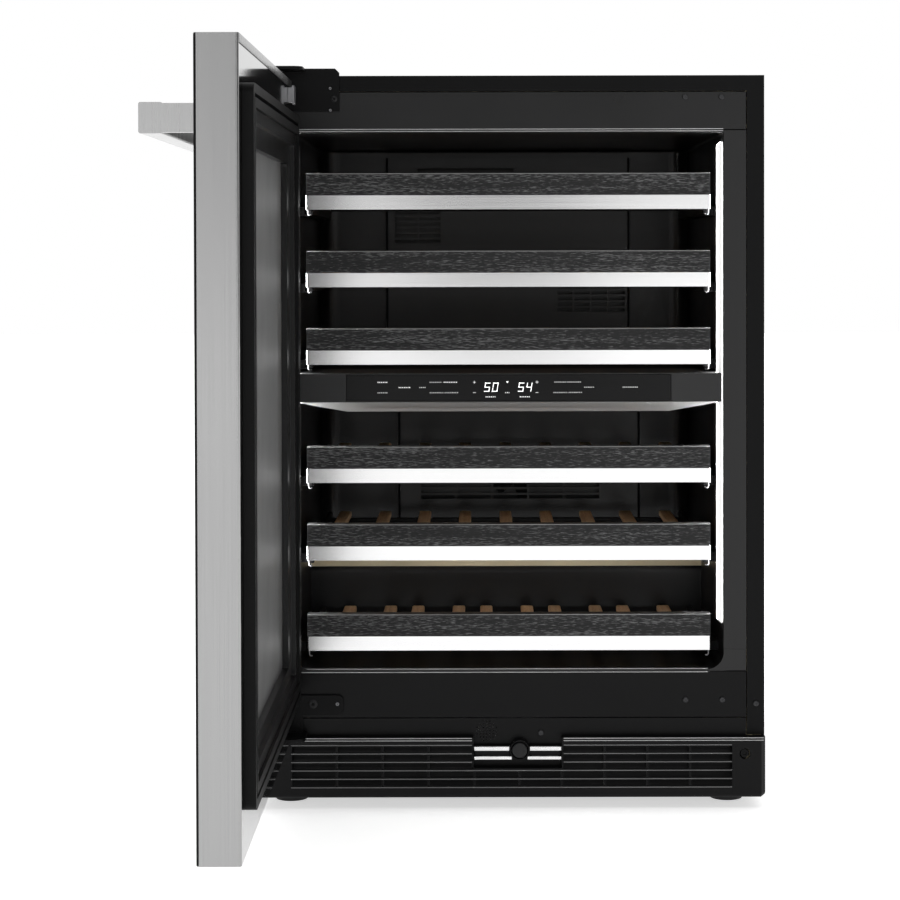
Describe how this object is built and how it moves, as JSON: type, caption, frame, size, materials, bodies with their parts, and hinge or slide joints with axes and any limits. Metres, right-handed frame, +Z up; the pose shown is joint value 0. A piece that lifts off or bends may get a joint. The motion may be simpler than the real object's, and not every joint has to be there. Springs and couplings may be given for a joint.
{
  "type": "wine cooler",
  "caption": "Undercounter two-zone wine cooler with a hinged glass door, sliding bottle shelves, centre control beam and louvred toe grille.",
  "frame": {"origin": "on the floor, under the middle of the cabinet (the door, open in front of it, is not counted)", "axes": "+X to the viewer's right, -Y out of the front, +Z up"},
  "size_m": [0.652, 1.1765, 0.8755],
  "materials": {
    "black_paint": "satin",
    "black_trim": "gloss",
    "black_liner": "gloss",
    "black_matt": "matte",
    "foam": "matte",
    "stainless": "satin",
    "bright_steel": "satin",
    "plated_steel": "satin",
    "black_oak": "satin",
    "oak": "satin",
    "touch_glass": "gloss",
    "tinted_glass": "gloss",
    "clear_glass": "gloss",
    "white_light": "matte",
    "aluminium": "satin",
    "seal_rubber": "matte",
    "green_board": "matte",
    "compressor_black": "satin"
  },
  "bodies": {
    "cabinet": {"outer_wrapper": "black_paint", "back_panel": "plated_steel", "base_pan": "plated_steel", "insulation_foam": "foam", "inner_liner": "black_liner", "top_header": "black_trim", "bottom_header": "black_trim", "side_posts": "black_trim", "cabinet_screws": "plated_steel", "service_panel": "black_trim", "toe_grille": "black_trim", "button_bezel": "bright_steel", "control_housing": "black_matt", "touch_panel": "touch_glass", "control_board": "green_board", "zone_divider": "black_matt", "light_strips": "white_light", "duct_covers": "black_liner", "evaporators": "aluminium", "condenser": "aluminium", "fan_motors": "black_matt", "compressor": "compressor_black", "power_inlet": "black_matt", "shelf_tracks": "black_paint", "hinge_brackets": "black_paint"},
    "door": {"door_skin": "stainless", "door_core": "foam", "outer_glass": "tinted_glass", "inner_glass": "clear_glass", "glass_spacer": "aluminium", "door_liner": "black_liner", "door_gasket": "seal_rubber", "door_handle": "stainless", "hinge_fittings": "plated_steel"},
    "release_button": {"release_button": "black_matt"},
    "upper_fan": {"upper_fan": "black_matt"},
    "lower_fan": {"lower_fan": "black_matt"},
    "condenser_fan": {"condenser_fan": "black_matt"},
    "leg_front_left": {"leg_front_left": "black_matt"},
    "leg_front_right": {"leg_front_right": "black_matt"},
    "leg_rear_left": {"leg_rear_left": "black_matt"},
    "leg_rear_right": {"leg_rear_right": "black_matt"},
    "shelf_1": {"shelf_1_board": "black_oak", "shelf_1_trim": "bright_steel", "shelf_1_rack": "oak"},
    "shelf_2": {"shelf_2_board": "black_oak", "shelf_2_trim": "bright_steel", "shelf_2_rack": "oak"},
    "shelf_3": {"shelf_3_board": "black_oak", "shelf_3_trim": "bright_steel", "shelf_3_rack": "oak"},
    "shelf_4": {"shelf_4_board": "black_oak", "shelf_4_trim": "bright_steel", "shelf_4_rack": "oak"},
    "shelf_5": {"shelf_5_board": "black_oak", "shelf_5_trim": "bright_steel", "shelf_5_rack": "oak"},
    "shelf_6": {"shelf_6_board": "black_oak", "shelf_6_trim": "bright_steel", "shelf_6_rack": "oak"}
  },
  "joints": [
    {"name": "door_swing", "type": "hinge", "parent": "cabinet", "child": "door", "pos_m": [-0.277, -0.3155, 0.475], "axis": [0, 0, -1], "range_deg": [-90, 25]},
    {"name": "shelf_1_slide", "type": "slide", "parent": "cabinet", "child": "shelf_1", "axis": [0, -1, 0], "range_m": [0, 0.28]},
    {"name": "shelf_2_slide", "type": "slide", "parent": "cabinet", "child": "shelf_2", "axis": [0, -1, 0], "range_m": [0, 0.28]},
    {"name": "shelf_3_slide", "type": "slide", "parent": "cabinet", "child": "shelf_3", "axis": [0, -1, 0], "range_m": [0, 0.28]},
    {"name": "shelf_4_slide", "type": "slide", "parent": "cabinet", "child": "shelf_4", "axis": [0, -1, 0], "range_m": [0, 0.28]},
    {"name": "shelf_5_slide", "type": "slide", "parent": "cabinet", "child": "shelf_5", "axis": [0, -1, 0], "range_m": [0, 0.28]},
    {"name": "shelf_6_slide", "type": "slide", "parent": "cabinet", "child": "shelf_6", "axis": [0, -1, 0], "range_m": [0, 0.19]},
    {"name": "button_press", "type": "slide", "parent": "cabinet", "child": "release_button", "axis": [0, 1, 0], "range_m": [0, 0.003], "stiffness_N_per_m": 400},
    {"name": "upper_fan_spin", "type": "hinge", "parent": "cabinet", "child": "upper_fan", "pos_m": [0.017, 0.1865, 0.606], "axis": [0, -1, 0], "continuous": true},
    {"name": "lower_fan_spin", "type": "hinge", "parent": "cabinet", "child": "lower_fan", "pos_m": [0.017, 0.1865, 0.35], "axis": [0, -1, 0], "continuous": true},
    {"name": "condenser_fan_spin", "type": "hinge", "parent": "cabinet", "child": "condenser_fan", "pos_m": [-0.12, -0.15, 0.076], "axis": [0, -1, 0], "continuous": true},
    {"name": "leg_front_left_screw", "type": "slide", "parent": "cabinet", "child": "leg_front_left", "axis": [0, 0, -1], "range_m": [0, 0.015]},
    {"name": "leg_front_right_screw", "type": "slide", "parent": "cabinet", "child": "leg_front_right", "axis": [0, 0, -1], "range_m": [0, 0.015]},
    {"name": "leg_rear_left_screw", "type": "slide", "parent": "cabinet", "child": "leg_rear_left", "axis": [0, 0, -1], "range_m": [0, 0.015]},
    {"name": "leg_rear_right_screw", "type": "slide", "parent": "cabinet", "child": "leg_rear_right", "axis": [0, 0, -1], "range_m": [0, 0.015]}
  ]
}
